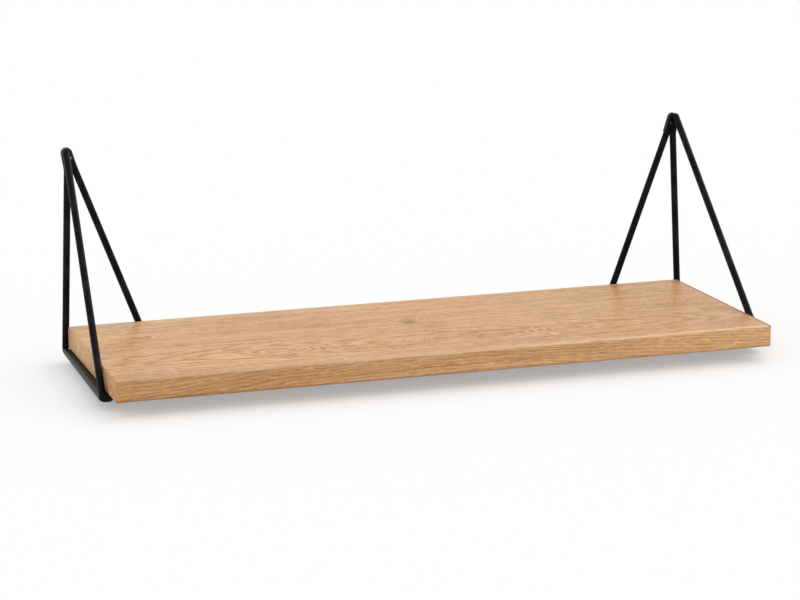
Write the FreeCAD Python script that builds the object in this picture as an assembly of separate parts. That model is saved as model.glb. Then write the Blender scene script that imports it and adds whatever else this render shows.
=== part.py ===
import FreeCAD, Part
import math
import os

from FreeCAD import Vector

# Wall shelf: a solid oak board on two brackets of round steel bar.
# X runs along the board, Y from the board's front edge back to the wall, Z up.
# The origin is on the ground under the middle: half way along the board, and half way
# between its front edge and the wall.
# Inside a bracket, u is the distance inboard from the board's end, y the distance behind
# the board's front edge and z the height above the bracket's lowest line.

# Oak board
board_length = 800.0
board_depth = 280.0
board_thickness = 26.0
board_edge_chamfer = 1.0

# Round bar of both brackets: its back bends (radius on the bar's axis) and the gap in its hairpin
bar_diameter = 8.5
back_bend_radius = 5.0
hairpin_gap = 0.7

# Where a bracket's bar runs (points on its axis)
apex_inboard = 8.0
apex_height = 247.0
outer_leg_overhang = 3.0
inner_leg_inboard = 98.5
hairpin_overhang = 1.7
hairpin_setback = 46.0
board_to_leg_gap = 0.3

# Strut that props the hairpin from the top of the bracket
strut_outboard_shift = 2.7
strut_top_rise = 2.0
strut_foot_turn = 20.0

# Lug that closes the top of the bracket and takes the wall screw
lug_top_radius = 6.6
lug_outboard_shift = 1.1
lug_centre_drop = 1.3
lug_seat_clearance = 0.5
lug_side_inset = 0.4
lug_edge_chamfer = 2.0
wall_hole_diameter = 3.4
wall_hole_inboard_shift = 3.0
wall_hole_drop = 7.2

# Flat steel between the bars, a little below their tops, screwed to the underside of the board
flat_thickness = 2.0
flat_drop = 0.5
rear_strap_width = 25.0
rear_strap_setback = 5.0
front_tab_width = 24.0
front_tab_from_hairpin = 1.0
front_tab_to_strap = 1.0
flat_hole_diameter = 4.6
front_screw_from_hairpin = 56.0
rear_screw_margin = 22.0

# Wood screws
screw_diameter = 4.0
screw_length = 16.0
screw_head_diameter = 8.0
screw_head_height = 2.6

bar_radius = bar_diameter / 2
hairpin_radius = bar_radius + hairpin_gap / 2
base_axis_height = bar_radius
board_bottom = bar_diameter
flat_bottom = board_bottom - flat_drop - flat_thickness
leg_axis_y = board_depth + board_to_leg_gap + bar_radius
wall_y = leg_axis_y + bar_radius


def place(u, y, z):
    """A point of the left-hand bracket in the shelf's own axes."""
    return Vector(u - board_length / 2, y - wall_y / 2, z)


def right_hand(shape):
    """The right-hand twin of a left-hand piece."""
    return shape.mirror(Vector(0, 0, 0), Vector(1, 0, 0))


def tangent_point(outside, centre, radius, turn):
    """Where a line from a point outside a circle touches it; turn +1 or -1 picks the side."""
    away = outside - centre
    angle = math.atan2(away.y, away.x) + turn * math.acos(radius / away.Length)
    return centre + Vector(math.cos(angle), math.sin(angle), 0) * radius


def arc_between(start, centre, end, towards):
    """Arc about centre from start to end, bulging towards a given point."""
    radius = (start - centre).Length
    middle = (start - centre).normalize() + (end - centre).normalize()
    if middle.dot(towards - centre) < 0:
        middle = -middle
    return Part.Arc(start, centre + middle.normalize() * radius, end).toShape()


def bend(before, corner, after, radius):
    """Start point, arc and end point of a bend that rounds one corner of a bar's axis."""
    back = (before - corner).normalize()
    ahead = (after - corner).normalize()
    half_angle = back.getAngle(ahead) / 2
    run = radius / math.tan(half_angle)
    start = corner + back * run
    end = corner + ahead * run
    middle = corner + (back + ahead).normalize() * (radius / math.sin(half_angle) - radius)
    return start, Part.Arc(start, middle, end).toShape(), end


# Corners of one bracket's axis lines
apex = place(apex_inboard, leg_axis_y, apex_height)
outer_corner = place(-outer_leg_overhang, leg_axis_y, base_axis_height)
inner_corner = place(inner_leg_inboard, leg_axis_y, base_axis_height)
hairpin_centre = place(-hairpin_overhang, hairpin_setback, base_axis_height)
hairpin_outer = tangent_point(outer_corner, hairpin_centre, hairpin_radius, 1)
hairpin_inner = tangent_point(inner_corner, hairpin_centre, hairpin_radius, -1)
hairpin_front = hairpin_centre - Vector(0, hairpin_radius, 0)
rear_strap_back = place(0, board_depth - rear_strap_setback, 0).y
rear_strap_front = rear_strap_back - rear_strap_width
foot_turn = FreeCAD.Rotation(Vector(0, 0, 1), strut_foot_turn)
strut_foot = hairpin_centre + foot_turn.multVec(hairpin_outer - hairpin_centre)

# The two wall legs close on each other at the apex; each is sawn square where they part
leg_half_angle = (outer_corner - apex).getAngle(inner_corner - apex) / 2
leg_cut = bar_radius / math.tan(leg_half_angle) + lug_seat_clearance
outer_leg_way = (outer_corner - apex).normalize()
inner_leg_way = (inner_corner - apex).normalize()
outer_leg_top = apex + outer_leg_way * leg_cut
inner_leg_top = apex + inner_leg_way * leg_cut
lug_centre = apex + Vector(-lug_outboard_shift, 0, -lug_centre_drop)


def bent_bar():
    """One bar: down the wall, forward under the board's end, round the hairpin, back and up."""
    outer_start, outer_bend, outer_end = bend(outer_leg_top, outer_corner, hairpin_outer, back_bend_radius)
    inner_start, inner_bend, inner_end = bend(hairpin_inner, inner_corner, inner_leg_top, back_bend_radius)
    axis = Part.Wire([
        Part.makeLine(outer_leg_top, outer_start),
        outer_bend,
        Part.makeLine(outer_end, hairpin_outer),
        arc_between(hairpin_outer, hairpin_centre, hairpin_inner, hairpin_front),
        Part.makeLine(hairpin_inner, inner_start),
        inner_bend,
        Part.makeLine(inner_end, inner_leg_top),
    ])
    section = Part.Face(Part.Wire([Part.makeCircle(bar_radius, outer_leg_top, outer_leg_way)]))
    return axis.makePipe(section)


def strut(bar, top_lug):
    """Straight bar from the lug to the hairpin: coped over both, its top ground round."""
    top = apex + Vector(-strut_outboard_shift, -bar_radius, strut_top_rise)
    way = (strut_foot - top).normalize()
    past_lug = bar_diameter
    length = (strut_foot - top).Length + past_lug
    rod = Part.makeCylinder(bar_radius, length, top - way * past_lug, way)
    width = 4 * bar_diameter
    behind = Part.makeBox(width, width, 2 * width, apex - Vector(width / 2, 0, width))
    crown = lug_centre.z + lug_top_radius
    side_centre = Vector(top.x, apex.y - width, crown - bar_radius)
    above_sides = Part.makeBox(width, 2 * width, width, side_centre - Vector(width / 2, 0, 0))
    side_round = Part.makeCylinder(bar_radius, 2 * width, side_centre, Vector(0, 1, 0))
    face_centre = Vector(apex.x - width, apex.y - bar_radius, lug_centre.z)
    crest_height = lug_top_radius / math.sqrt(2)
    above_face = Part.makeBox(2 * width, 2 * width, width, face_centre + Vector(0, -width, crest_height))
    face_round = Part.makeCylinder(lug_top_radius, 2 * width, face_centre, Vector(1, 0, 0))
    coped = rod.cut(behind).cut(above_sides.cut(side_round)).cut(above_face.cut(face_round))
    coped = coped.cut(top_lug).cut(bar)
    return max(coped.Solids, key=lambda piece: piece.Volume)


def lug():
    """Round-topped block, a little narrower than the legs; its seats are square to their sawn ends."""
    outer_normal = Vector(outer_leg_way.z, 0, -outer_leg_way.x)
    inner_normal = Vector(-inner_leg_way.z, 0, inner_leg_way.x)
    outer_low = outer_leg_top + outer_normal * (bar_radius - lug_side_inset)
    inner_low = inner_leg_top + inner_normal * (bar_radius - lug_side_inset)
    outer_touch = wall_plane_tangent(outer_low, lug_centre, 1)
    inner_touch = wall_plane_tangent(inner_low, lug_centre, -1)
    crotch_outer = outer_leg_top - outer_normal * bar_radius
    crotch_inner = inner_leg_top - inner_normal * bar_radius
    top = lug_centre + Vector(0, 0, lug_top_radius)
    outline = Part.Wire([
        Part.makeLine(outer_low, outer_touch),
        arc_between(outer_touch, lug_centre, inner_touch, top),
        Part.makeLine(inner_touch, inner_low),
        Part.makeLine(inner_low, crotch_inner),
        Part.makeLine(crotch_inner, crotch_outer),
        Part.makeLine(crotch_outer, outer_low),
    ])
    plate = Part.Face(outline).extrude(Vector(0, bar_diameter, 0))
    plate.translate(Vector(0, -bar_radius, 0))
    seat_top = max(outer_low.z, inner_low.z)
    front_rim = [edge for edge in plate.Edges
                 if edge.BoundBox.YMax < apex.y and edge.CenterOfMass.z > seat_top]
    return plate.makeChamfer(lug_edge_chamfer, front_rim).cut(wall_hole())


def wall_plane_tangent(outside, centre, turn):
    """Tangent point on the lug's round top, worked out in the plane of the wall."""
    flat_outside = Vector(outside.x, outside.z, 0)
    flat_centre = Vector(centre.x, centre.z, 0)
    touch = tangent_point(flat_outside, flat_centre, lug_top_radius, -turn)
    return Vector(touch.x, centre.y, touch.y)


def wall_hole():
    """Screw hole through the lug, beside the strut and square to the wall."""
    centre = apex + Vector(wall_hole_inboard_shift, 0, -wall_hole_drop)
    start = centre - Vector(0, bar_diameter, 0)
    return Part.makeCylinder(wall_hole_diameter / 2, 2 * bar_diameter, start, Vector(0, 1, 0))


def bar_x_at(y_place, start, end):
    """X of a base bar's axis where it crosses a given depth."""
    share = (y_place - start.y) / (end.y - start.y)
    return start.x + share * (end.x - start.x)


def between_bars(front, back):
    """Flat face from one base bar's axis to the other's, between two depths."""
    corners = [
        Vector(bar_x_at(front, hairpin_outer, outer_corner), front, flat_bottom),
        Vector(bar_x_at(front, hairpin_inner, inner_corner), front, flat_bottom),
        Vector(bar_x_at(back, hairpin_inner, inner_corner), back, flat_bottom),
        Vector(bar_x_at(back, hairpin_outer, outer_corner), back, flat_bottom),
    ]
    return Part.Face(Part.makePolygon(corners + corners[:1]))


def drilled_flat(outline, hole_points, bar):
    """Flat steel of a given outline, drilled for its screws and coped to the bars it is welded to."""
    flat = outline.extrude(Vector(0, 0, flat_thickness))
    for point in hole_points:
        flat = flat.cut(Part.makeCylinder(flat_hole_diameter / 2, flat_thickness, point))
    return flat.cut(bar)


def rear_strap(bar):
    """Strap across the back of the base, from bar to bar."""
    return drilled_flat(between_bars(rear_strap_front, rear_strap_back), rear_screw_points(), bar)


def front_tab(bar, prop):
    """Long tab along the outer base bar; its nose fills the hairpin up to the strut's foot."""
    front = hairpin_centre.y + front_tab_from_hairpin
    back = rear_strap_front - front_tab_to_strap
    corners = [
        Vector(bar_x_at(front, hairpin_outer, outer_corner), front, flat_bottom),
        Vector(bar_x_at(front, hairpin_outer, outer_corner) + front_tab_width, front, flat_bottom),
        Vector(bar_x_at(back, hairpin_outer, outer_corner) + front_tab_width, back, flat_bottom),
        Vector(bar_x_at(back, hairpin_outer, outer_corner), back, flat_bottom),
    ]
    strip = Part.Face(Part.makePolygon(corners + corners[:1]))
    outline = between_bars(front, back).common(strip).Faces[0]
    return drilled_flat(outline, front_screw_points(), bar).cut(prop)


def rear_screw_points():
    """Two places on the rear strap, each the same margin in from a bar."""
    middle = (rear_strap_front + rear_strap_back) / 2
    outer = bar_x_at(middle, hairpin_outer, outer_corner) + rear_screw_margin
    inner = bar_x_at(middle, hairpin_inner, inner_corner) - rear_screw_margin
    return [Vector(outer, middle, flat_bottom), Vector(inner, middle, flat_bottom)]


def front_screw_points():
    """One place on the front tab, half way between the bars."""
    y = hairpin_centre.y + front_screw_from_hairpin
    outer = bar_x_at(y, hairpin_outer, outer_corner)
    inner = bar_x_at(y, hairpin_inner, inner_corner)
    return [Vector((outer + inner) / 2, y, flat_bottom)]


def wood_screw(point):
    """Round screw: its flat head under the flat steel, its shank up in the board."""
    head = Part.makeCylinder(screw_head_diameter / 2, screw_head_height, Vector(0, 0, -screw_head_height))
    screw = head.fuse(Part.makeCylinder(screw_diameter / 2, screw_length))
    screw.translate(point)
    return screw


def board(screw_points):
    """Oak board with eased edges and a blind hole in its underside for each wood screw."""
    blank = Part.makeBox(board_length, board_depth, board_thickness)
    blank.translate(Vector(-board_length / 2, -wall_y / 2, board_bottom))
    blank = blank.makeChamfer(board_edge_chamfer, blank.Edges)
    for point in screw_points:
        left_hole = Part.makeCylinder(screw_diameter / 2, screw_length, point)
        blank = blank.cut(left_hole).cut(right_hand(left_hole))
    return blank


def save(name, shapes):
    """Writes one piece, or one group of like pieces, as a STEP file of solids."""
    solids = [solid for shape in shapes for solid in shape.Solids]
    Part.makeCompound(solids).exportStep(os.path.join("parts", name + ".step"))


os.makedirs("parts", exist_ok=True)
bar = bent_bar()
top_lug = lug()
prop = strut(bar, top_lug)
screw_points = rear_screw_points() + front_screw_points()
bracket = {
    "frame_bar": [bar],
    "strut": [prop],
    "wall_lug": [top_lug],
    "rear_strap": [rear_strap(bar)],
    "front_tab": [front_tab(bar, prop)],
    "board_screws": [wood_screw(point) for point in screw_points],
}
for piece, shapes in bracket.items():
    save("left_" + piece, shapes)
    save("right_" + piece, [right_hand(shape) for shape in shapes])
save("board", [board(screw_points)])
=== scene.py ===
import math

import bmesh
import bpy
from mathutils import Matrix, Vector


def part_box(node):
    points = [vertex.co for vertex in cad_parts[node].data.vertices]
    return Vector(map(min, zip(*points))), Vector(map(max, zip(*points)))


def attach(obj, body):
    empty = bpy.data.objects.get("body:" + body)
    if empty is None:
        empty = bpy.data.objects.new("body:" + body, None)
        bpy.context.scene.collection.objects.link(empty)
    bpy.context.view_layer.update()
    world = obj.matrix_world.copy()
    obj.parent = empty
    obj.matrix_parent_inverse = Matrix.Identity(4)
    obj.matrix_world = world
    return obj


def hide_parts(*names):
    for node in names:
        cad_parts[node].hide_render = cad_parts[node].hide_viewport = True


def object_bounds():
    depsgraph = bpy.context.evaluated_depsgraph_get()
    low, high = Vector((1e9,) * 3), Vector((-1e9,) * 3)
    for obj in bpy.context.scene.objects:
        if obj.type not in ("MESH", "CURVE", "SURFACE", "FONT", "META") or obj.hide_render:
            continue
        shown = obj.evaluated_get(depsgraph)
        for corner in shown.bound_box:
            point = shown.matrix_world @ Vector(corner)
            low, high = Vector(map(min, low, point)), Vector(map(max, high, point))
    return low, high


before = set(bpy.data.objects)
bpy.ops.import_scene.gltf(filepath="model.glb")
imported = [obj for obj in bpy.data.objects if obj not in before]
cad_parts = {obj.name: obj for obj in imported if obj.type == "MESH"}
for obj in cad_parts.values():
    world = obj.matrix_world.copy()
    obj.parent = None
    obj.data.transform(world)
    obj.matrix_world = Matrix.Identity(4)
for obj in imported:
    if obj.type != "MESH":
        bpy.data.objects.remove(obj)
cad_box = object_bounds()

# --- Board -----------------------------------------------------------------
# One wide plank of oak, planed, with its arrises eased and a thin satin oil on every face.
# It is cut flat across the log, so its year rings show as long flames along the top, and
# the stumps of a few twigs show as small eyes.

MM = 0.001
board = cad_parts["board"]
board_low, board_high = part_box("board")
arris_round = 0.5 * MM
arris_angle = math.radians(32)

# The log's heart runs along under the board. It is nearest at the middle and falls away
# towards both ends, with a soft bend between
ring_width = 3.0 * MM
heart_from_front = 78.4 * MM
heart_below_board = 70.5 * MM
heart_fall = 0.055
heart_bend = 50.0 * MM

# Each twig swells the rings up to the top face. In mm: its distance from the left end and
# from the front, the swelling's half length, half width and height. Last, how dark its
# heart is; the heart takes up a share of the swelling's length and width
twigs = (
    (395.0, 163.0, 36.0, 20.0, 20.0, 0.90),
    (720.0, 150.0, 30.0, 14.0, 15.0, 0.80),
    (405.0, 72.0, 36.0, 15.0, 24.0, 0.30),
    (70.0, 186.0, 30.0, 13.0, 9.0, 0.40),
    (417.0, 132.0, 30.0, 12.0, 3.0, 0.50),
    (560.0, 72.0, 50.0, 16.0, 13.0, 0.0),
    (215.0, 74.0, 45.0, 15.0, 13.0, 0.0),
)
twig_heart_length = 0.28
twig_heart_width = 0.34

# How many marks there are to the metre, along the grain and the two ways across it
wander_marks = (4.0, 14.0, 14.0)
ripple_marks = (60.0, 190.0, 190.0)
showing_marks = (9.0, 45.0, 45.0)
cloud_marks = (4.0, 16.0, 16.0)
broad_marks = (3.5, 85.0, 170.0)
streak_marks = (20.0, 430.0, 800.0)
strand_marks = (48.0, 1000.0, 1400.0)
fibre_marks = (110.0, 2300.0, 2300.0)
pore_marks = (70.0, 1500.0, 1500.0)
ray_marks = (60.0, 700.0, 700.0)
year_marks = 150.0

# How far a slow wander moves the rings about and a ripple frays them, along and across
wander_reach = (35.0 * MM, 18.0 * MM, 18.0 * MM)
ripple_reach = (6.0 * MM, 3.5 * MM, 3.5 * MM)

pale_oak = (0.82, 0.485, 0.220, 1.0)
warm_oak = (0.56, 0.282, 0.100, 1.0)
brown_oak = (0.38, 0.142, 0.030, 1.0)
late_wood_oak = (0.88, 0.58, 0.31, 1.0)
ray_oak = (0.92, 0.62, 0.34, 1.0)
pore_brown = (0.22, 0.078, 0.016, 1.0)
twig_brown = (0.29, 0.105, 0.016, 1.0)
# Painted highlight for the top arris, painted shade for two arrises, and painted shade and light
# across the front face
arris_highlight_oak = (0.92, 0.66, 0.40, 1.0)
arris_shade_brown = (0.30, 0.12, 0.035, 1.0)
front_shade_oak = (0.57, 0.31, 0.132, 1.0)
front_light_tint = (1.13, 1.22, 1.45, 1.0)
front_shade_tint = (0.87, 0.86, 0.90, 1.0)


def add_node(tree, kind, sockets=None, **settings):
    """Adds one shader node; a socket's value is a constant or another node's output."""
    node = tree.nodes.new(kind)
    for name, value in settings.items():
        setattr(node, name, value)
    for name, value in (sockets or {}).items():
        if isinstance(value, bpy.types.NodeSocket):
            tree.links.new(value, node.inputs[name])
        else:
            node.inputs[name].default_value = value
    return node


def work_out(tree, operation, *values):
    """Result of one sum on one to three values."""
    node = add_node(tree, "ShaderNodeMath", dict(enumerate(values)), operation=operation)
    return node.outputs[0]


def between(tree, value, low, high, out_low=0.0, out_high=1.0):
    """Takes low..high to out_low..out_high, smoothly and without passing either end."""
    node = add_node(tree, "ShaderNodeMapRange",
                    {"Value": value, "From Min": low, "From Max": high,
                     "To Min": out_low, "To Max": out_high},
                    interpolation_type="SMOOTHSTEP")
    return node.outputs[0]


def blend_colour(tree, share, first, second, how="MIX"):
    """The first colour with a share of the second laid over it."""
    node = add_node(tree, "ShaderNodeMix", {0: share, 6: first, 7: second},
                    data_type="RGBA", blend_type=how)
    return node.outputs[2]


def stretched(tree, point, marks, start=(0.0, 0.0, 0.0)):
    """The point scaled so that there are so many marks to the metre each way."""
    node = add_node(tree, "ShaderNodeMapping",
                    {"Vector": point, "Location": start, "Scale": marks})
    return node.outputs[0]


def noise(tree, point, detail, roughness, distortion=0.0, marks=1.0):
    """An uneven value, about 0.5 on average."""
    node = add_node(tree, "ShaderNodeTexNoise",
                    {"Vector": point, "Scale": marks, "Detail": detail,
                     "Roughness": roughness, "Distortion": distortion})
    return node.outputs[0]


def shaken(tree, point, marks, detail, roughness, reach, path):
    """The path pushed about each way by up to half of reach, in swells of so many marks."""
    swells = add_node(tree, "ShaderNodeTexNoise",
                      {"Vector": stretched(tree, point, marks), "Scale": 1.0,
                       "Detail": detail, "Roughness": roughness})
    centred = add_node(tree, "ShaderNodeVectorMath",
                       {0: swells.outputs["Color"], 1: (-0.5, -0.5, -0.5)}, operation="ADD")
    pushed = add_node(tree, "ShaderNodeVectorMath",
                      {0: centred.outputs[0], 1: reach, 2: path}, operation="MULTIPLY_ADD")
    return pushed.outputs[0]


def apart(tree, point):
    """The point's place along the shelf, across it and up."""
    return add_node(tree, "ShaderNodeSeparateXYZ", {0: point}).outputs


def oval(tree, along, across, centre, half_length, half_width):
    """1 at a point of the top face, falling smoothly to 0 around it in an oval."""
    lengthways = work_out(tree, "SUBTRACT", along, centre[0])
    lengthways = work_out(tree, "DIVIDE", lengthways, half_length)
    sideways = work_out(tree, "SUBTRACT", across, centre[1])
    sideways = work_out(tree, "DIVIDE", sideways, half_width)
    square = work_out(tree, "MULTIPLY_ADD", lengthways, lengthways,
                      work_out(tree, "MULTIPLY", sideways, sideways))
    return work_out(tree, "EXPONENT", work_out(tree, "MULTIPLY", square, -1.0))


def add_relief(tree, shader, height, strength, depth):
    """Lets the shader's surface rise and fall with the height."""
    bump = add_node(tree, "ShaderNodeBump",
                    {"Strength": strength, "Distance": depth, "Height": height})
    tree.links.new(bump.outputs[0], shader.inputs["Normal"])


def new_material(name):
    """An empty node material with a Principled shader, ready for its sockets."""
    material = bpy.data.materials.new(name)
    material.use_nodes = True
    tree = material.node_tree
    tree.nodes.clear()
    shader = add_node(tree, "ShaderNodeBsdfPrincipled")
    add_node(tree, "ShaderNodeOutputMaterial", {"Surface": shader.outputs[0]})
    return material, tree, shader


def year_rings(tree, point):
    """Distance from the log's heart, nearness to a twig, and darkness of a twig's heart."""
    frayed = shaken(tree, point, ripple_marks, 3.0, 0.6, ripple_reach, point)
    wandering = shaken(tree, point, wander_marks, 2.0, 0.5, wander_reach, frayed)
    along, across, up = apart(tree, wandering)
    from_middle = work_out(tree, "MULTIPLY_ADD", along, along, heart_bend ** 2)
    from_middle = work_out(tree, "SQRT", from_middle)
    heart_depth = work_out(tree, "MULTIPLY_ADD", from_middle, heart_fall,
                           heart_below_board - board_low.z)
    depth = work_out(tree, "ADD", heart_depth, up)
    aside = work_out(tree, "SUBTRACT", across, board_low.y + heart_from_front)
    from_heart = work_out(tree, "MULTIPLY_ADD", aside, aside,
                          work_out(tree, "MULTIPLY", depth, depth))
    from_heart = work_out(tree, "SQRT", from_heart)

    frayed_along, frayed_across, _ = apart(tree, frayed)
    near_twig = 0.0
    twig_heart = 0.0
    for from_left, from_front, half_length, half_width, height, darkness in twigs:
        centre = (board_low.x + from_left * MM, board_low.y + from_front * MM)
        swelling = oval(tree, frayed_along, frayed_across, centre,
                        half_length * MM, half_width * MM)
        from_heart = work_out(tree, "MULTIPLY_ADD", swelling, height * MM, from_heart)
        near_twig = work_out(tree, "MAXIMUM", near_twig, swelling)
        if darkness:
            heart = oval(tree, frayed_along, frayed_across, centre,
                         half_length * twig_heart_length * MM,
                         half_width * twig_heart_width * MM)
            twig_heart = work_out(tree, "MULTIPLY_ADD", heart, darkness, twig_heart)
    return from_heart, near_twig, twig_heart


def painted_edge_and_front_light(tree, point, streak, along_share, colour):
    """The colour with painted light and shade: a highlight on the top arris, shade on two
    arrises and across the front.
    """
    in_x, in_y, in_z = apart(tree, point)
    from_front = work_out(tree, "SUBTRACT", in_y, board_low.y)
    from_right = work_out(tree, "SUBTRACT", board_high.x, in_x)
    from_top = work_out(tree, "SUBTRACT", board_high.z, in_z)
    from_bottom = work_out(tree, "SUBTRACT", in_z, board_low.z)

    # A painted highlight runs along the long top arris, stronger in some streaks than in others
    top_arris = work_out(tree, "ADD", from_front, from_top)
    arris_highlight = work_out(tree, "MULTIPLY", between(tree, top_arris, 1.2 * MM, 2.4 * MM, 1.0, 0.0),
                      between(tree, streak, 0.40, 0.60, 0.35, 0.85))
    colour = blend_colour(tree, arris_highlight, colour, arris_highlight_oak)

    # Painted shade darkens the low front arris and the right end's top arris
    low_arris = work_out(tree, "ADD", from_front, from_bottom)
    end_arris = work_out(tree, "ADD", from_right, from_top)
    arris_shade = work_out(tree, "MAXIMUM", between(tree, low_arris, 1.2 * MM, 2.8 * MM, 0.65, 0.0),
                     between(tree, end_arris, 2.6 * MM, 6.0 * MM, 0.85, 0.0))
    colour = blend_colour(tree, arris_shade, colour, arris_shade_brown)

    # Painted shade and light on the front face: a darker tone over it, deepened towards the left
    # and lifted towards the right
    at_front = between(tree, from_front, 2.0 * MM, 9.0 * MM, 1.0, 0.0)
    front_lit_share = work_out(tree, "MULTIPLY", along_share, at_front)
    front_shaded_share = work_out(tree, "SUBTRACT", at_front, front_lit_share)
    colour = blend_colour(tree, work_out(tree, "MULTIPLY", at_front, 0.22), colour, front_shade_oak)
    colour = blend_colour(tree, front_lit_share, colour, front_light_tint, "MULTIPLY")
    return blend_colour(tree, front_shaded_share, colour, front_shade_tint, "MULTIPLY")


def oak_material():
    """Oiled oak: year rings, streaks, fibres, pores, rays, twigs, and painted light and shade on
    the edges and front.
    """
    material, tree, shader = new_material("oiled_oak")
    point = add_node(tree, "ShaderNodeTexCoord").outputs["Object"]
    along_share = between(tree, apart(tree, point)[0], board_low.x, board_high.x)

    # Each year starts with open, dark early wood and ends with dense, pale late wood
    from_heart, near_twig, twig_heart = year_rings(tree, point)
    season = work_out(tree, "FRACT", work_out(tree, "DIVIDE", from_heart, ring_width))
    early_wood = work_out(tree, "MULTIPLY", between(tree, season, 0.0, 0.15),
                          between(tree, season, 0.22, 0.68, 1.0, 0.0))
    late_wood = work_out(tree, "MULTIPLY", between(tree, season, 0.62, 0.82),
                         between(tree, season, 0.86, 1.0, 1.0, 0.0))
    year_tone = add_node(tree, "ShaderNodeTexNoise",
                         {"W": from_heart, "Scale": year_marks, "Detail": 3.0,
                          "Roughness": 0.6},
                         noise_dimensions="1D").outputs[0]

    # The rings show in patches, and most of all round the twigs
    patches = noise(tree, stretched(tree, point, showing_marks, (1.7, 0.0, 0.0)), 3.0, 0.6)
    patches = between(tree, patches, 0.36, 0.60, 0.30, 1.0)
    showing = work_out(tree, "MAXIMUM", work_out(tree, "MULTIPLY", patches, 0.5),
                       between(tree, near_twig, 0.05, 0.55, 0.0, 0.68))

    # Streaks of four sizes, each much longer than they are wide, and slow clouds of tone
    broad = noise(tree, stretched(tree, point, broad_marks), 3.0, 0.55, 0.3)
    streak = noise(tree, stretched(tree, point, streak_marks), 4.0, 0.68, 0.4)
    strand = noise(tree, stretched(tree, point, strand_marks), 3.0, 0.65, 0.2)
    fibre = noise(tree, stretched(tree, point, fibre_marks), 2.0, 0.6)
    cloud = noise(tree, stretched(tree, point, cloud_marks, (3.1, 0.0, 0.0)), 2.0, 0.5)

    # Open pores are dark dashes, thickest in the early wood; rays are short pale flecks
    pore = noise(tree, stretched(tree, point, pore_marks, (0.0, 0.7, 0.0)), 3.0, 0.6)
    pore_floor = work_out(tree, "MULTIPLY_ADD", early_wood, -0.12, 0.66)
    pore = between(tree, work_out(tree, "SUBTRACT", pore, pore_floor), -0.03, 0.05)
    ray = noise(tree, stretched(tree, point, ray_marks, (0.0, 1.9, 0.0)), 2.0, 0.55)
    ray = between(tree, ray, 0.56, 0.70)

    # The ground colour follows the streaks, and its dark ones are stronger to the right
    tone = work_out(tree, "MULTIPLY", broad, 0.34)
    for marks, share in ((streak, 0.42), (strand, 0.24), (year_tone, 0.10)):
        tone = work_out(tree, "MULTIPLY_ADD", marks, share, tone)
    dark_streak = work_out(tree, "MULTIPLY", between(tree, tone, 0.57, 0.68),
                           work_out(tree, "MULTIPLY_ADD", along_share, 0.30, 0.76))
    colour = blend_colour(tree, between(tree, tone, 0.48, 0.62), pale_oak, warm_oak)
    colour = blend_colour(tree, dark_streak, colour, brown_oak)

    # Over the ground go the rings, the clouds, a warmer, darker tone towards the right that is
    # painted shade on the top, the fibres, rays, pores and twigs, in that order
    early_share = work_out(tree, "MULTIPLY", early_wood, showing)
    late_share = work_out(tree, "MULTIPLY", late_wood, work_out(tree, "MULTIPLY", showing, 0.6))
    for share, over in (
            (early_share, brown_oak),
            (late_share, late_wood_oak),
            (between(tree, cloud, 0.35, 0.70, 0.0, 0.22), warm_oak),
            (work_out(tree, "MULTIPLY", along_share, 0.42), warm_oak),
            (between(tree, fibre, 0.45, 0.75, 0.0, 0.45), brown_oak),
            (work_out(tree, "MULTIPLY", ray, 0.66), ray_oak),
            (work_out(tree, "MULTIPLY", pore, 0.66), pore_brown),
            (twig_heart, twig_brown)):
        colour = blend_colour(tree, share, colour, over)
    colour = painted_edge_and_front_light(tree, point, streak, along_share, colour)
    tree.links.new(colour, shader.inputs["Base Color"])

    # The oil is satin, a little duller in some strands and in the pores, which stay open
    roughness = work_out(tree, "MULTIPLY_ADD", strand, 0.16, 0.27)
    roughness = work_out(tree, "MULTIPLY_ADD", pore, 0.2, roughness)
    tree.links.new(roughness, shader.inputs["Roughness"])
    shader.inputs["IOR"].default_value = 1.42
    shader.inputs["Specular IOR Level"].default_value = 0.22
    height = work_out(tree, "MULTIPLY_ADD", pore, -1.0, work_out(tree, "MULTIPLY", fibre, 0.35))
    height = work_out(tree, "MULTIPLY_ADD", early_wood, -0.2, height)
    add_relief(tree, shader, height, 0.35, 0.15 * MM)
    return material


board.data.materials.clear()
board.data.materials.append(oak_material())
arris = board.modifiers.new("eased arris", "BEVEL")
arris.width = arris_round
arris.segments = 3
arris.limit_method = "ANGLE"
arris.angle_limit = arris_angle

# --- Brackets --------------------------------------------------------------
# Two mirror-image open brackets of round steel bar: a bent bar, a straight strut, a lug for
# the wall screw, and two flats that carry the board. They are welded up, then coated black
# with a fine-textured powder.

sides = ("left", "right")
bracket_pieces = ("frame_bar", "strut", "wall_lug", "rear_strap", "front_tab")
deep_black = (0.0018, 0.0019, 0.0021, 1.0)
highlight_grey_black = (0.0105, 0.0108, 0.0115, 1.0)


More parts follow.
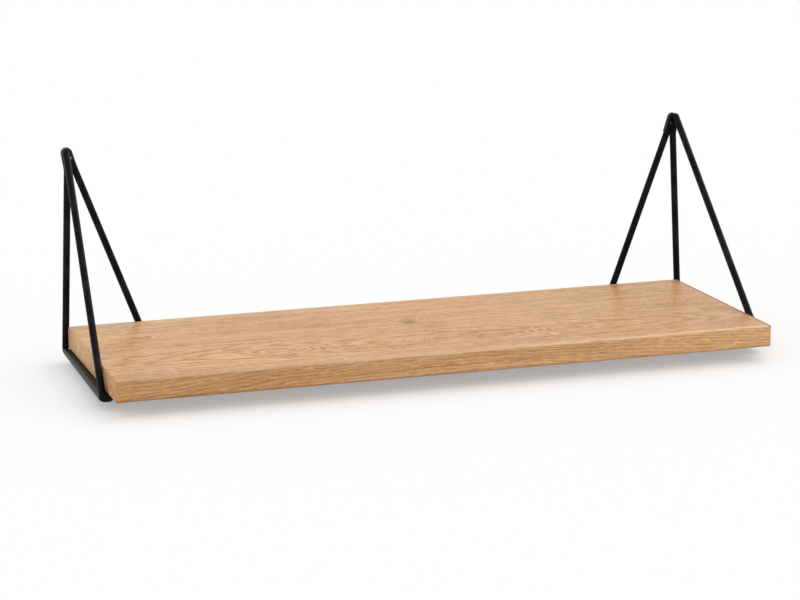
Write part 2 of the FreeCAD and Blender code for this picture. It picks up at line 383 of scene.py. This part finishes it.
def powder_coat_material():
    """Black powder coat: fine grain on a slight orange peel, with painted highlights as grey
    patches.
    """
    material, tree, shader = new_material("black_powder_coat")
    point = add_node(tree, "ShaderNodeTexCoord").outputs["Object"]
    grain = noise(tree, point, 3.0, 0.55, marks=1400.0)
    peel = noise(tree, point, 2.0, 0.5, marks=420.0)
    patch = noise(tree, point, 3.0, 0.6, marks=34.0)
    # Grey patches in the black are painted highlights
    colour = blend_colour(tree, between(tree, patch, 0.44, 0.64), deep_black, highlight_grey_black)
    tree.links.new(colour, shader.inputs["Base Color"])
    roughness = work_out(tree, "MULTIPLY_ADD", patch, 0.12, 0.24)
    roughness = work_out(tree, "MULTIPLY_ADD", grain, 0.12, roughness)
    tree.links.new(roughness, shader.inputs["Roughness"])
    shader.inputs["IOR"].default_value = 1.4
    shader.inputs["Specular IOR Level"].default_value = 0.13
    height = work_out(tree, "MULTIPLY_ADD", peel, 0.8, work_out(tree, "MULTIPLY", grain, 0.5))
    add_relief(tree, shader, height, 0.55, 0.22 * MM)
    return material


powder_coat = powder_coat_material()
for side in sides:
    for piece in bracket_pieces:
        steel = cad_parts[side + "_" + piece]
        steel.data.materials.clear()
        steel.data.materials.append(powder_coat)

# --- Welds -----------------------------------------------------------------
# Fillet beads of mild steel that join each bracket's pieces, left as laid and coated over:
# one round the strut's foot, one round each leg under the lug, one along each end of the
# rear strap, and three stitches along the front tab.

foot_bead_radius = 1.3 * MM
leg_bead_radius = 0.5 * MM
flat_bead_radius = 1.2 * MM
bead_sides = 12
bead_step = 0.3 * MM
ripple_length = 1.5 * MM
ripple_depth = 0.14
blunt_end = 0.3
stitch_length = 18.0 * MM
stitch_starts = (0.2, 0.5, 0.8)
below_flat = Vector((0.0, 0.0, -0.3 * MM))
ground_below = 0.05 * MM

# Where the welded rims are looked for: so far up from the strut's foot and down from its
# top, where an edge is this sharp. Corners within a hair of each other count as level
foot_reach = 14.0 * MM
lug_reach = 40.0 * MM
sharp_angle = math.radians(35)
hair = 0.05 * MM
smoothing_rounds = 4


def tidy_copy(node):
    """A bmesh of a CAD node with its split corners joined again."""
    copy = bmesh.new()
    copy.from_mesh(node.data)
    bmesh.ops.remove_doubles(copy, verts=copy.verts, dist=0.001 * MM)
    return copy


def join_rings(mesh, rings):
    """Skins a row of rings of corners and closes both ends."""
    around = len(rings[0])
    for first, second in zip(rings, rings[1:]):
        for turn in range(around):
            beside = (turn + 1) % around
            mesh.faces.new((first[turn], first[beside], second[beside], second[turn]))
    mesh.faces.new(reversed(rings[0]))
    mesh.faces.new(rings[-1])


def lay_bead(mesh, path, radius):
    """A rippled bead swept along a path, thinning towards both ends."""
    runs = [0.0]
    for before, after in zip(path, path[1:]):
        runs.append(runs[-1] + (after - before).length)
    steps = max(8, round(runs[-1] / bead_step))
    rings = []
    at = 0
    for step in range(steps + 1):
        run = runs[-1] * step / steps
        while at < len(path) - 2 and run > runs[at + 1]:
            at += 1
        middle = path[at].lerp(path[at + 1], (run - runs[at]) / (runs[at + 1] - runs[at]))
        ahead = (path[at + 1] - path[at]).normalized()
        outward = ahead.cross(Vector((0.0, 0.0, 1.0))).normalized()
        upward = outward.cross(ahead)
        swell = abs(math.sin(math.pi * run / ripple_length))
        ripple = 1.0 - ripple_depth + ripple_depth * swell
        taper = min(1.0, blunt_end + run / radius, blunt_end + (runs[-1] - run) / radius)
        ring = []
        for turn in range(bead_sides):
            angle = math.tau * turn / bead_sides
            sideways = outward * math.cos(angle) + upward * math.sin(angle)
            ring.append(mesh.verts.new(middle + sideways * radius * ripple * taper))
        rings.append(ring)
    join_rings(mesh, rings)


def sharp_rim(node, lowest, highest):
    """The corners of a piece's sharp edges between two heights."""
    def on_rim(edge):
        heights = [end.co.z for end in edge.verts]
        inside = lowest < min(heights) and max(heights) < highest
        return inside and edge.is_manifold and edge.calc_face_angle() > sharp_angle

    copy = tidy_copy(node)
    rim = [corner.co.copy() for corner in copy.verts
           if any(on_rim(edge) for edge in corner.link_edges)]
    copy.free()
    return rim


def ring_path(points):
    """A closed, smoothed path through points that lie round a ring, seen from above."""
    middle = sum(points, Vector()) / len(points)
    points = sorted(points, key=lambda point: math.atan2(point.y - middle.y,
                                                         point.x - middle.x))
    path = points[:1]
    for point in points[1:]:
        if (point - path[-1]).length > 2 * bead_step:
            path.append(point)
    for _ in range(smoothing_rounds):
        path = [(path[at - 1] + 2 * path[at] + path[(at + 1) % len(path)]) / 4
                for at in range(len(path))]
    return path + path[:1]


def lower_corners(flat):
    """The corners of a flat's lower face."""
    corners = [corner.co.copy() for corner in flat.data.vertices]
    low = min(corner.z for corner in corners)
    return [corner for corner in corners if corner.z < low + hair]


def row_ends(corners, depth, outboard):
    """The outboard and inboard ends of the row of corners that lies at one depth."""
    row = [corner for corner in corners if abs(corner.y - depth) < hair]
    row.sort(key=lambda corner: -corner.x * outboard)
    return row[0], row[-1]


def add_object(name, mesh):
    """Puts a bmesh into the scene as an object."""
    data = bpy.data.meshes.new(name)
    mesh.to_mesh(data)
    mesh.free()
    made = bpy.data.objects.new(name, data)
    bpy.context.scene.collection.objects.link(made)
    return made


for side, outboard in zip(sides, (-1, 1)):
    beads = bmesh.new()
    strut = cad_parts[side + "_strut"]
    strut_low, strut_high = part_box(side + "_strut")
    foot_rim = sharp_rim(strut, strut_low.z - MM, strut_low.z + foot_reach)
    lay_bead(beads, ring_path(foot_rim), foot_bead_radius)

    leg_rims = sharp_rim(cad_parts[side + "_frame_bar"],
                         strut_high.z - lug_reach, strut_high.z)
    rim_xs = [point.x for point in leg_rims]
    between_legs = (min(rim_xs) + max(rim_xs)) / 2
    for leg_rim in ([point for point in leg_rims if point.x < between_legs],
                    [point for point in leg_rims if point.x >= between_legs]):
        lay_bead(beads, ring_path(leg_rim), leg_bead_radius)

    strap = lower_corners(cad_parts[side + "_rear_strap"])
    back_ends = row_ends(strap, max(corner.y for corner in strap), outboard)
    front_ends = row_ends(strap, min(corner.y for corner in strap), outboard)
    for front_end, back_end in zip(front_ends, back_ends):
        lay_bead(beads, [front_end + below_flat, back_end + below_flat], flat_bead_radius)

    tab = lower_corners(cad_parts[side + "_front_tab"])
    tab_nose = min(tab, key=lambda corner: corner.y)
    tab_back, _ = row_ends(tab, max(corner.y for corner in tab), outboard)
    along_tab = (tab_back - tab_nose).normalized()
    for share in stitch_starts:
        start = tab_nose.lerp(tab_back, share) + below_flat
        lay_bead(beads, [start, start + along_tab * stitch_length], flat_bead_radius)

    # A bead that would stand proud of the bracket's side or of the wall face is ground off
    for corner in beads.verts:
        corner.co.x = max(cad_box[0][0] + ground_below,
                          min(cad_box[1][0] - ground_below, corner.co.x))
        corner.co.y = min(cad_box[1][1] - ground_below, corner.co.y)
    bmesh.ops.recalc_face_normals(beads, faces=beads.faces)
    weld_beads = add_object(side + "_weld_beads", beads)
    weld_beads.data.shade_smooth()
    weld_beads.data.materials.append(powder_coat)
    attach(weld_beads, "root")

# --- Board screws ----------------------------------------------------------
# Pan-head wood screws in blackened steel, three to a bracket, driven up through the flats:
# a domed head with a cross recess, a rolled thread and a sharp point.

head_radius = 4.0 * MM
head_height = 2.6 * MM
head_rim = 0.4 * MM
head_chamfer = 0.12 * MM
dome_start = 0.5 * MM
dome_flat_radius = 0.35 * MM
dome_lifts = (90, 80, 70, 60, 50, 40, 30, 20, 6)
screw_length = 16.0 * MM
core_radius = 1.35 * MM
neck_radius = 1.65 * MM
thread_radius = 1.95 * MM
thread_pitch = 1.8 * MM
thread_start = 3.0 * MM
thread_half_width = 0.36 * MM
point_length = 4.0 * MM
point_radius = 0.1 * MM
screw_sides = 24
shank_steps = 90
crisp_angle = math.radians(40)
turn_for_each_mm = math.radians(37)

# The cross recess: its arms, and how much wider it is at its mouth and narrower at its nose
recess_half_span = 2.1 * MM
recess_half_width = 0.5 * MM
recess_depth = 1.5 * MM
recess_mouth = 1.12
recess_nose = 0.55

screw_black = (0.016, 0.016, 0.017, 1.0)
screw_grey = (0.030, 0.029, 0.028, 1.0)
scuffed_steel = (0.12, 0.12, 0.12, 1.0)


def add_ring(mesh, radius_at, height):
    """A ring of corners round the screw's axis, its radius worked out for each angle."""
    ring = []
    for turn in range(screw_sides):
        angle = math.tau * turn / screw_sides
        radius = radius_at(angle)
        ring.append(mesh.verts.new((radius * math.cos(angle), radius * math.sin(angle), height)))
    return ring


def thread_radius_at(height, angle):
    """Radius of the shank: a plain neck, then a ridge that winds up to the point."""
    if height < thread_start:
        return neck_radius
    taper = min(1.0, (screw_length - height) / point_length)
    winding = (height / thread_pitch - angle / math.tau) % 1.0
    from_crest = abs(winding - 0.5) * thread_pitch
    ridge = max(0.0, 1.0 - from_crest / thread_half_width)
    return max(point_radius, taper * (core_radius + ridge * (thread_radius - core_radius)))


def screw_blank():
    """One screw without its recess, its head below z = 0 and its shank above."""
    profile = []
    for lift in map(math.radians, dome_lifts):
        profile.append((max(dome_flat_radius, head_radius * math.cos(lift)),
                        -dome_start - (head_height - dome_start) * math.sin(lift)))
    profile += [(head_radius, -head_rim), (head_radius, -head_chamfer),
                (head_radius - head_chamfer, 0.0), (neck_radius, 0.0)]
    blank = bmesh.new()
    rings = [add_ring(blank, lambda angle: radius, height) for radius, height in profile]
    for step in range(1, shank_steps + 1):
        height = screw_length * step / shank_steps
        rings.append(add_ring(blank, lambda angle: thread_radius_at(height, angle), height))
    join_rings(blank, rings)
    bmesh.ops.recalc_face_normals(blank, faces=blank.faces)
    return blank


def recess_punch():
    """The punch that strikes the cross recess: a cross that narrows towards its nose."""
    quarter = [(recess_half_span, -recess_half_width), (recess_half_span, recess_half_width),
               (recess_half_width, recess_half_width)]
    cross = []
    for _ in range(4):
        cross += quarter
        quarter = [(-y, x) for x, y in quarter]
    punch = bmesh.new()
    rings = []
    for size, height in ((recess_mouth, -head_height - head_rim),
                         (recess_nose, -head_height + recess_depth)):
        rings.append([punch.verts.new((x * size, y * size, height)) for x, y in cross])
    join_rings(punch, rings)
    bmesh.ops.recalc_face_normals(punch, faces=punch.faces)
    return punch


def struck_screw():
    """The mesh of one screw, with its recess struck out of the head."""
    blank = add_object("screw_blank", screw_blank())
    punch = add_object("recess_punch", recess_punch())
    strike = blank.modifiers.new("recess", "BOOLEAN")
    strike.object = punch
    strike.operation = "DIFFERENCE"
    strike.solver = "EXACT"
    depsgraph = bpy.context.evaluated_depsgraph_get()
    struck = bpy.data.meshes.new_from_object(blank.evaluated_get(depsgraph))
    bpy.data.objects.remove(blank)
    bpy.data.objects.remove(punch)
    return struck


def screw_steel_material():
    """Blackened steel, cloudy from the bath and scuffed on the head and the thread."""
    material, tree, shader = new_material("blackened_screw_steel")
    point = add_node(tree, "ShaderNodeTexCoord").outputs["Object"]
    bloom = noise(tree, point, 3.0, 0.6, marks=600.0)
    scuff = noise(tree, stretched(tree, point, (900.0, 900.0, 200.0)), 3.0, 0.6)
    colour = blend_colour(tree, between(tree, bloom, 0.35, 0.65), screw_black, screw_grey)
    scuffed = between(tree, scuff, 0.60, 0.75, 0.0, 0.5)
    colour = blend_colour(tree, scuffed, colour, scuffed_steel)
    tree.links.new(colour, shader.inputs["Base Color"])
    shader.inputs["Metallic"].default_value = 0.7
    tree.links.new(between(tree, scuff, 0.3, 0.7, 0.30, 0.48), shader.inputs["Roughness"])
    add_relief(tree, shader, bloom, 0.2, 0.05 * MM)
    return material


def screw_seats(node):
    """Where each plain screw's axis meets the flat that its head bears on, front to back."""
    plain_screws = tidy_copy(node)
    seat_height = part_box(node.name)[0].z + head_height
    seats = []
    waiting = set(plain_screws.verts)
    while waiting:
        reached = [waiting.pop()]
        screw = []
        while reached:
            corner = reached.pop()
            screw.append(corner.co)
            for edge in corner.link_edges:
                beyond = edge.other_vert(corner)
                if beyond in waiting:
                    waiting.remove(beyond)
                    reached.append(beyond)
        xs = [corner.x for corner in screw]
        ys = [corner.y for corner in screw]
        seats.append(Vector(((min(xs) + max(xs)) / 2, (min(ys) + max(ys)) / 2, seat_height)))
    plain_screws.free()
    return sorted(seats, key=lambda seat: seat.y)


one_screw = struck_screw()
screw_steel = screw_steel_material()
for side in sides:
    screws = bmesh.new()
    for seat in screw_seats(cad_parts[side + "_board_screws"]):
        # Each screw has stopped at an angle of its own
        turn = Matrix.Rotation(turn_for_each_mm * round(seat.y / MM), 4, "Z")
        driven = one_screw.copy()
        driven.transform(Matrix.Translation(seat) @ turn)
        screws.from_mesh(driven)
        bpy.data.meshes.remove(driven)
    pan_head_screws = add_object(side + "_pan_head_screws", screws)
    pan_head_screws.data.shade_smooth()
    pan_head_screws.data.set_sharp_from_angle(angle=crisp_angle)
    pan_head_screws.data.materials.append(screw_steel)
    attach(pan_head_screws, "root")
    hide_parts(side + "_board_screws")

# --- Floor and light -------------------------------------------------------
# A plain pale studio floor close under the shelf, an even white sky, and one wide soft lamp
# high up to the right and a little behind, which throws the shadow forward and to the left.

floor_gap = 9.0 * MM
floor_half_width = 30.0
floor_cream = (0.995, 0.975, 0.955, 1.0)
floor_white = (1.0, 0.985, 0.965, 1.0)
glow_white = (0.965, 1.0, 1.03, 1.0)
glow_share = 0.355
sky_white = (1.0, 1.0, 1.0, 1.0)
sky_strength = 0.8
lamp_strength = 0.9
lamp_spread = math.radians(55.0)

# The lamp's height above level, and its turn from straight behind towards the right
lamp_height = math.radians(50.0)
lamp_turn = math.radians(58.0)


def looked_at(tree):
    """1 for what is looked at, also by way of gloss or glass, and 0 for light on a surface."""
    rays = add_node(tree, "ShaderNodeLightPath").outputs
    seen = work_out(tree, "MAXIMUM", rays["Is Camera Ray"], rays["Is Glossy Ray"])
    return work_out(tree, "MAXIMUM", seen, rays["Is Transmission Ray"])


def floor_material():
    """Matt white floor with a faint speck, part of which glows where it is looked at."""
    material, tree, shader = new_material("pale_floor")
    point = add_node(tree, "ShaderNodeTexCoord").outputs["Object"]
    speck = noise(tree, point, 2.0, 0.5, marks=60.0)
    colour = blend_colour(tree, speck, floor_cream, floor_white)
    tree.links.new(colour, shader.inputs["Base Color"])
    shader.inputs["Roughness"].default_value = 0.9
    shader.inputs["Specular IOR Level"].default_value = 0.0
    glow = add_node(tree, "ShaderNodeEmission", {"Color": glow_white, "Strength": 1.0})
    share = work_out(tree, "MULTIPLY", looked_at(tree), glow_share)
    mixed = add_node(tree, "ShaderNodeMixShader",
                     {0: share, 1: shader.outputs[0], 2: glow.outputs[0]})
    surface = tree.nodes["Material Output"].inputs["Surface"]
    tree.links.new(mixed.outputs[0], surface)
    return material


floor_mesh = bmesh.new()
bmesh.ops.create_grid(floor_mesh, x_segments=1, y_segments=1, size=floor_half_width)
floor = add_object("floor", floor_mesh)
floor.location.z = cad_box[0][2] - floor_gap
floor.data.materials.append(floor_material())

# The sky is seen as full white, and lights the shelf a little less strongly
world = bpy.data.worlds.new("studio")
bpy.context.scene.world = world
world.use_nodes = True
sky_tree = world.node_tree
sky_tree.nodes.clear()
strength = work_out(sky_tree, "MULTIPLY_ADD", looked_at(sky_tree),
                    1.0 - sky_strength, sky_strength)
sky = add_node(sky_tree, "ShaderNodeBackground", {"Color": sky_white, "Strength": strength})
add_node(sky_tree, "ShaderNodeOutputWorld", {"Surface": sky.outputs[0]})

lamp_data = bpy.data.lights.new("key", "SUN")
lamp_data.energy = lamp_strength
lamp_data.angle = lamp_spread
lamp = bpy.data.objects.new("key", lamp_data)
bpy.context.scene.collection.objects.link(lamp)
towards_lamp = Vector((math.sin(lamp_turn) * math.cos(lamp_height),
                       math.cos(lamp_turn) * math.cos(lamp_height),
                       math.sin(lamp_height)))
lamp.rotation_euler = towards_lamp.to_track_quat("Z", "Y").to_euler()
bpy.context.scene.view_settings.view_transform = "Standard"

# --- Camera ----------------------------------------------------------------
# A long lens nearly three metres in front of the shelf and a metre to the left of its middle,
# half a metre above it, looking slightly down and to the right.

camera_place = Vector((-0.9518, -2.9132, 0.7516))
yaw = math.radians(17.710)
pitch = math.radians(-12.614)
roll = math.radians(0.483)

camera_data = bpy.data.cameras.new("camera")
camera_data.sensor_width = 36.0
camera_data.lens = 117.41
camera_data.clip_end = 100.0
camera = bpy.data.objects.new("camera", camera_data)
bpy.context.scene.collection.objects.link(camera)
bpy.context.scene.camera = camera
forward = Vector((math.sin(yaw) * math.cos(pitch), math.cos(yaw) * math.cos(pitch),
                  math.sin(pitch)))
level_right = Vector((math.cos(yaw), -math.sin(yaw), 0.0))
level_up = level_right.cross(forward)
right = math.cos(roll) * level_right - math.sin(roll) * level_up
upward = math.sin(roll) * level_right + math.cos(roll) * level_up
axes = Matrix((right, upward, -forward)).transposed()
camera.matrix_world = Matrix.Translation(camera_place) @ axes.to_4x4()
